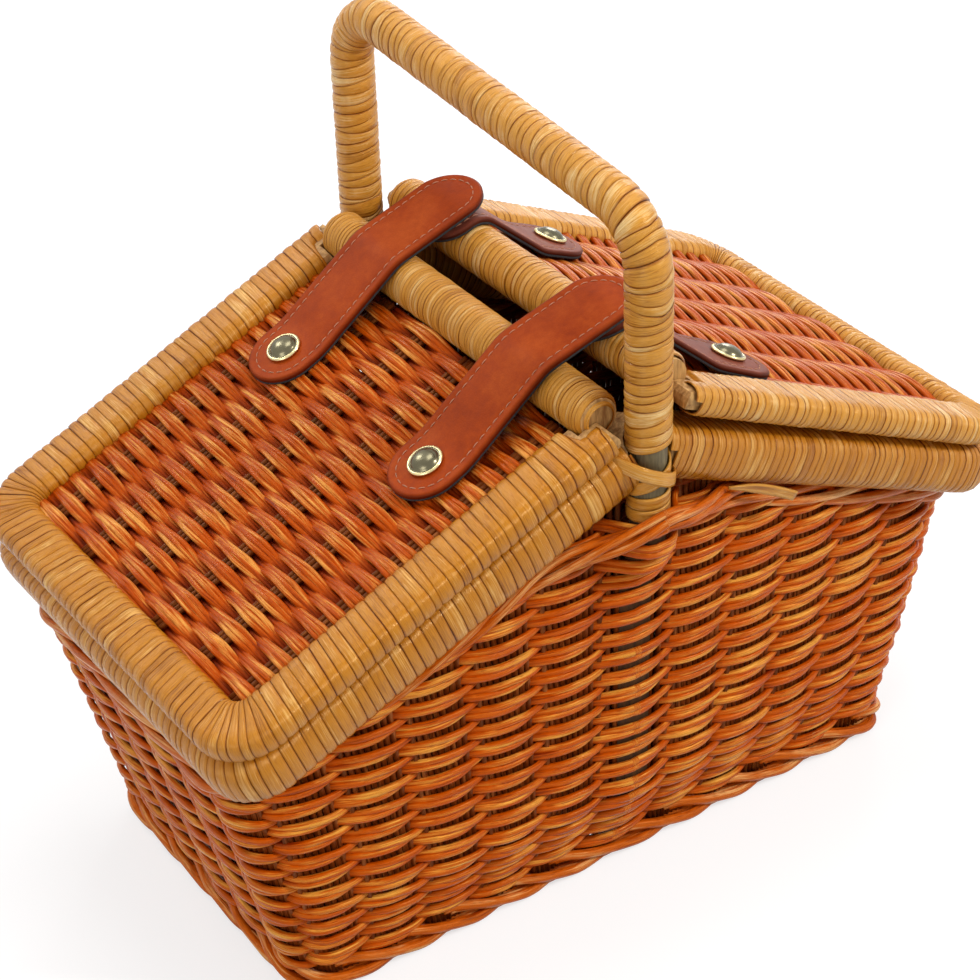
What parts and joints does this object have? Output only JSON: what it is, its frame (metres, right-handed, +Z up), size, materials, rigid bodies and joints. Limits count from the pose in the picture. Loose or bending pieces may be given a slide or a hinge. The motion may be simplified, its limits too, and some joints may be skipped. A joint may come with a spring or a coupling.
{
  "type": "wicker picnic basket",
  "caption": "Flared woven picnic basket with two sloping hinged lids, cane-wrapped rails, leather straps with capped rivets and a wrapped bow handle over the middle",
  "frame": {"origin": "centre of the foot border's underside, on the ground", "axes": "+Z up, +X along the basket towards the right lid, +Y across it towards the back; the handle stands in the plane x = 0"},
  "size_m": [0.3243, 0.1982, 0.288],
  "materials": {
    "weave": "varnished reddish rattan weave",
    "rods": "varnished rattan rods laid in a twisted border",
    "cane": "glossy flat cane, wound in tight turns",
    "pole": "bare grey-green cane pole",
    "leather": "smooth red-brown leather with a stitched edge",
    "dark_leather": "dark red-brown leather with a black felted back",
    "metal": "polished nickel with a faint warm tint"
  },
  "bodies": {
    "basket": {"foot_border": "rods", "floor_weave": "weave", "wall_weave": "weave", "top_border": "rods", "rim_wrap_left": "cane", "rim_core_left": "pole", "rim_wrap_right": "cane", "rim_core_right": "pole", "handle_pole": "pole", "handle_wrap": "cane", "handle_lashing_front": "cane", "handle_lashing_back": "cane"},
    "left_lid": {"left_lid_rail_wrap": "cane", "left_lid_rail_core": "pole", "left_lid_hinge_bar_wrap": "cane", "left_lid_hinge_bar_core": "pole", "left_lid_weave": "weave", "upper_strap_front": "leather", "upper_strap_back": "leather", "left_lid_cap_front": "metal", "left_lid_cap_back": "metal", "left_lid_rivet_front": "metal", "left_lid_rivet_back": "metal"},
    "right_lid": {"right_lid_rail_wrap": "cane", "right_lid_rail_core": "pole", "right_lid_hinge_bar_wrap": "cane", "right_lid_hinge_bar_core": "pole", "right_lid_weave": "weave", "lower_strap_front": "dark_leather", "lower_strap_back": "dark_leather", "right_lid_cap_front": "metal", "right_lid_cap_back": "metal", "right_lid_rivet_front": "metal", "right_lid_rivet_back": "metal"}
  },
  "joints": [
    {"name": "left_lid_hinge", "type": "hinge", "parent": "basket", "child": "left_lid", "pos_m": [-0.01403, 0, 0.19883], "axis": [0, 1, 0], "range_deg": [0, 115], "deforming": ["upper_strap_front", "upper_strap_back"]},
    {"name": "right_lid_hinge", "type": "hinge", "parent": "basket", "child": "right_lid", "pos_m": [0.01413, 0, 0.20346], "axis": [0, -1, 0], "range_deg": [0, 114], "deforming": ["lower_strap_front", "lower_strap_back"]}
  ]
}
